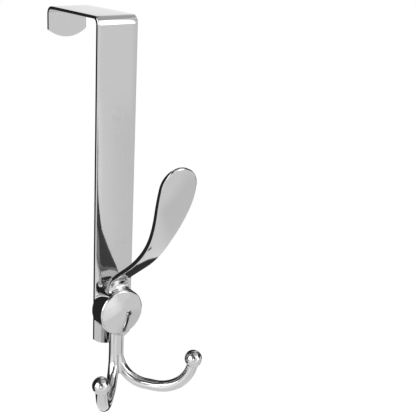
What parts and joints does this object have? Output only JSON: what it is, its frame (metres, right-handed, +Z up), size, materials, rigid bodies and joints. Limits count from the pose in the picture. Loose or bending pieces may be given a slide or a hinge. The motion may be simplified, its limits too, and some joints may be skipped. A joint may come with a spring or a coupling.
{
  "type": "over door hook",
  "caption": "Over-door hook: bent steel strap for a door's top edge, carrying a cast chrome hook with a leaf-shaped blade and a pair of ball-ended prongs.",
  "frame": {"origin": "middle of the seat that rests on the door's top edge: mid-width of the strap and mid-way between the two faces that take the door, on the underside of the shelf", "axes": "+Z up, -Y out of the door face towards the hooks, +X to the right of someone facing the hooks"},
  "size_m": [0.057, 0.0983, 0.1738],
  "materials": {
    "strap_steel": "mirror-polished stainless strip",
    "hook_chrome": "bright chrome plate on a polished zinc casting",
    "screw_steel": "zinc-plated steel"
  },
  "bodies": {
    "root": {"door_strap": "strap_steel", "triple_hook": "hook_chrome", "mounting_screws": "screw_steel"}
  },
  "joints": []
}
